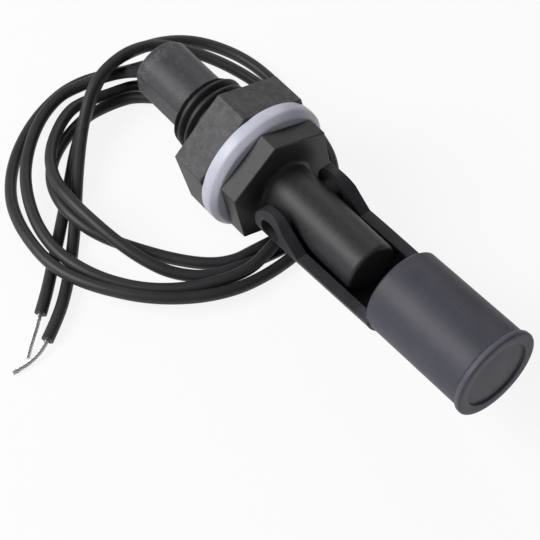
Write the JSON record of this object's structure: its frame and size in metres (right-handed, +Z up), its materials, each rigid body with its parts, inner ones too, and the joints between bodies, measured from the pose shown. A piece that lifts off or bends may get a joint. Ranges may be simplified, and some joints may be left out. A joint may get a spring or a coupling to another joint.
{
  "type": "float level switch",
  "caption": "Side-mounted float level switch: a threaded shank with a hexagonal flange, gasket and lock nut, a plain stem with a hinged cylindrical float, and two loose wires.",
  "frame": {"origin": "centre of the flange's sealing face, on the axis of the threaded shank", "axes": "+X along the shank into the tank, towards the float; +Z up; the float is hinged about Y"},
  "size_m": [0.1096, 0.0797, 0.0272],
  "materials": {
    "black_plastic": "moulded black polypropylene",
    "float_plastic": "moulded blue-black polypropylene",
    "silicone": "translucent pale sealing rubber",
    "resin": "cast sealing resin",
    "ferrite": "sintered ferrite magnet",
    "glass": "clear glass",
    "plated_wire": "plated nickel-iron",
    "sleeve": "shrink sleeve",
    "solder": "soft solder",
    "copper_tinned": "tinned copper strands",
    "wire_insulation": "smooth black insulation"
  },
  "bodies": {
    "switch": {"body": "black_plastic", "gasket": "silicone", "potting": "resin", "reed_glass": "glass", "reed_blade_rear": "plated_wire", "reed_blade_front": "plated_wire", "link_sleeve": "sleeve", "solder_1": "solder", "solder_2": "solder", "joint_sleeve_1": "sleeve", "joint_sleeve_2": "sleeve", "wire_core_1": "copper_tinned", "wire_core_2": "copper_tinned", "wire_1": "wire_insulation", "wire_2": "wire_insulation", "wire_tip_1": "copper_tinned", "wire_tip_2": "copper_tinned"},
    "nut": {"lock_nut": "black_plastic"},
    "float": {"float_shell": "float_plastic", "float_cap": "float_plastic", "magnet": "ferrite", "magnet_glue": "resin"}
  },
  "joints": [
    {"name": "float_hinge", "type": "hinge", "parent": "switch", "child": "float", "pos_m": [0.0103, 0, 0], "axis": [0, 1, 0], "range_deg": [-0.8, 31]},
    {"name": "nut_slide", "type": "slide", "parent": "switch", "child": "nut", "axis": [-1, 0, 0], "range_m": [0, 0.008]}
  ]
}
